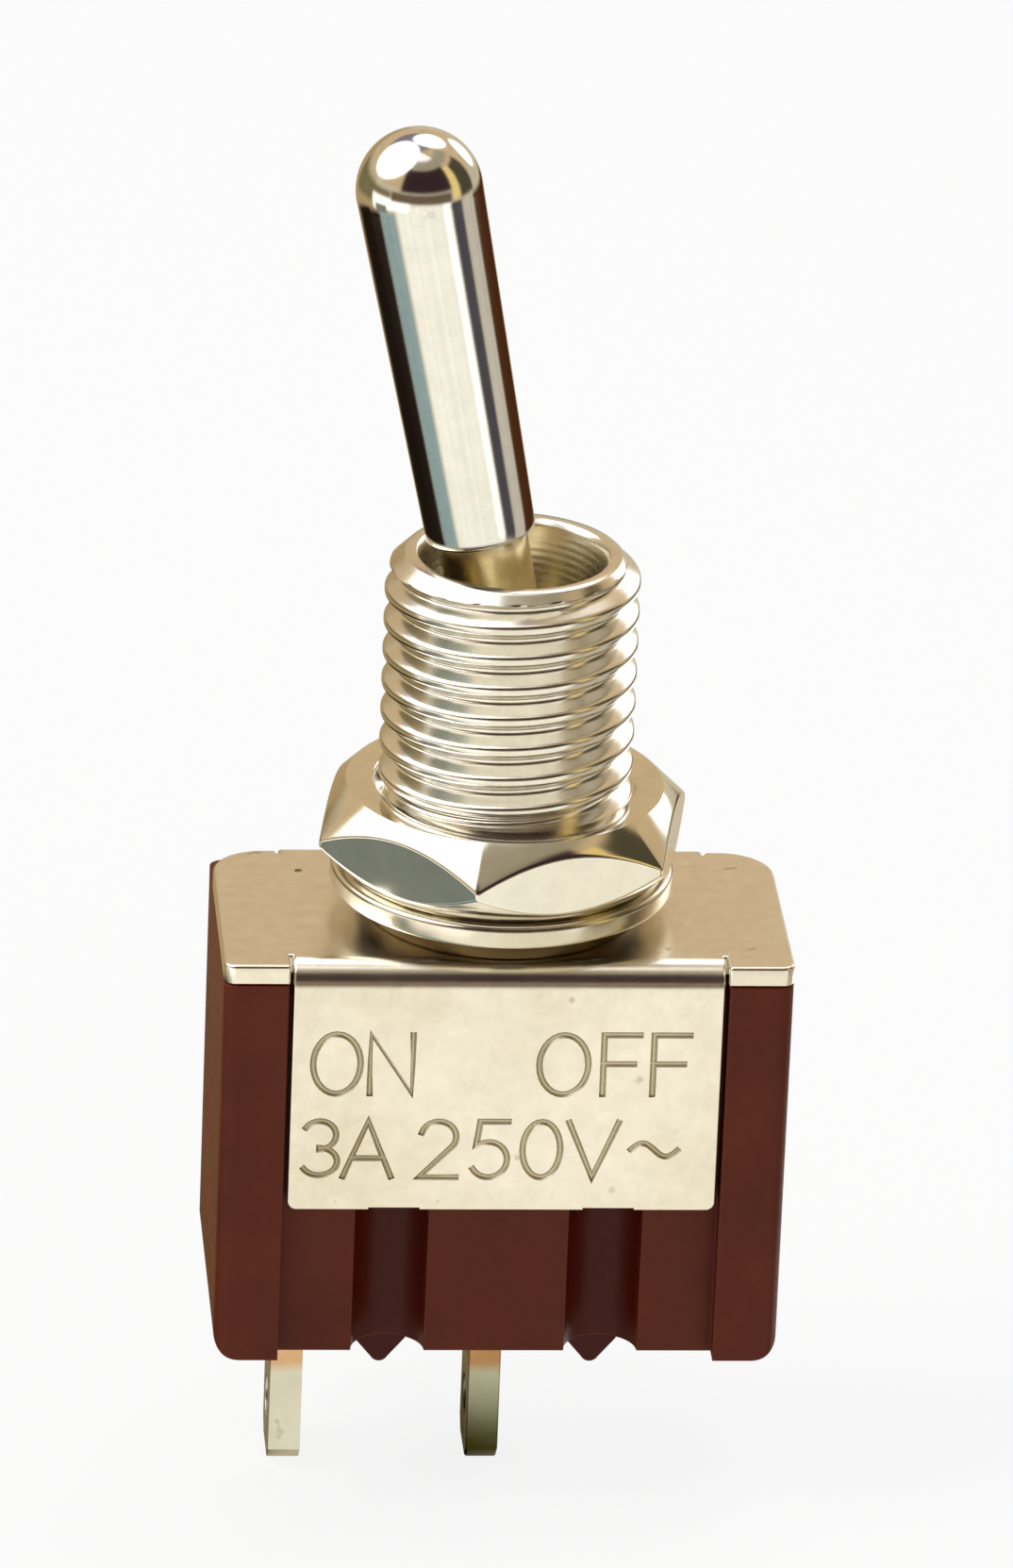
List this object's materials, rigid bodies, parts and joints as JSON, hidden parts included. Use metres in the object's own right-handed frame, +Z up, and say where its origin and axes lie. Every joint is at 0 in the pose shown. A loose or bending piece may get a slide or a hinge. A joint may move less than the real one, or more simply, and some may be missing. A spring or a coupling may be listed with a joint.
{
  "type": "panel toggle switch",
  "caption": "Miniature panel toggle switch: a bat lever tilts in a threaded bushing on a folded bracket over a moulded case with flat solder terminals.",
  "frame": {"origin": "on the bushing's axis, at the top face of the bracket, which is the face that goes against the panel", "axes": "+Z up the bushing, towards the lever; +X along the lever's swing, away from the end terminal; -Y is the side with the words ON and OFF"},
  "size_m": [0.0132, 0.009, 0.0332],
  "materials": {
    "case_resin": "moulded phenolic, slightly satin",
    "bracket_steel": "nickel-plated sheet, satin",
    "bushing_nickel": "turned brass, bright nickel plate",
    "nut_nickel": "bright nickel plate",
    "washer_zinc": "yellowish plate",
    "lever_chrome": "polished chrome",
    "pin_steel": "ground steel",
    "spring_steel": "drawn wire",
    "plunger_nylon": "moulded nylon",
    "rocker_brass": "stamped strip",
    "contact_silver": "silver rivet",
    "fulcrum_brass": "stamped and bent sheet",
    "terminal_silver": "silver-plated brass, dull",
    "seal_resin": "tan potting resin"
  },
  "bodies": {
    "housing": {"case": "case_resin", "bracket": "bracket_steel", "bushing": "bushing_nickel", "hex_nut": "nut_nickel", "lock_washer": "washer_zinc", "fulcrum_bracket": "fulcrum_brass", "fixed_contact": "contact_silver", "end_terminal": "terminal_silver", "common_terminal": "terminal_silver", "end_terminal_seal": "seal_resin", "common_terminal_seal": "seal_resin"},
    "lever": {"lever": "lever_chrome", "pivot_pin": "pin_steel", "plunger_spring": "spring_steel"},
    "plunger": {"plunger": "plunger_nylon"},
    "rocker": {"rocker": "rocker_brass", "moving_contact": "contact_silver"}
  },
  "joints": [
    {"name": "lever_toggle", "type": "hinge", "parent": "housing", "child": "lever", "pos_m": [0, 0, 0.0055], "axis": [0, 1, 0], "range_deg": [0, 23]},
    {"name": "plunger_slide", "type": "slide", "parent": "lever", "child": "plunger", "axis": [-0.1994, 0, 0.9799], "range_m": [0, 0.0003], "stiffness_N_per_m": 200, "deforming": ["plunger_spring"]},
    {"name": "rocker_rock", "type": "hinge", "parent": "housing", "child": "rocker", "pos_m": [0, 0, -0.0048], "axis": [0, -1, 0], "range_deg": [0, 14]}
  ],
  "couplings": [
    {"joint": "rocker_rock", "follows": "lever_toggle", "ratio": 0.6087}
  ]
}
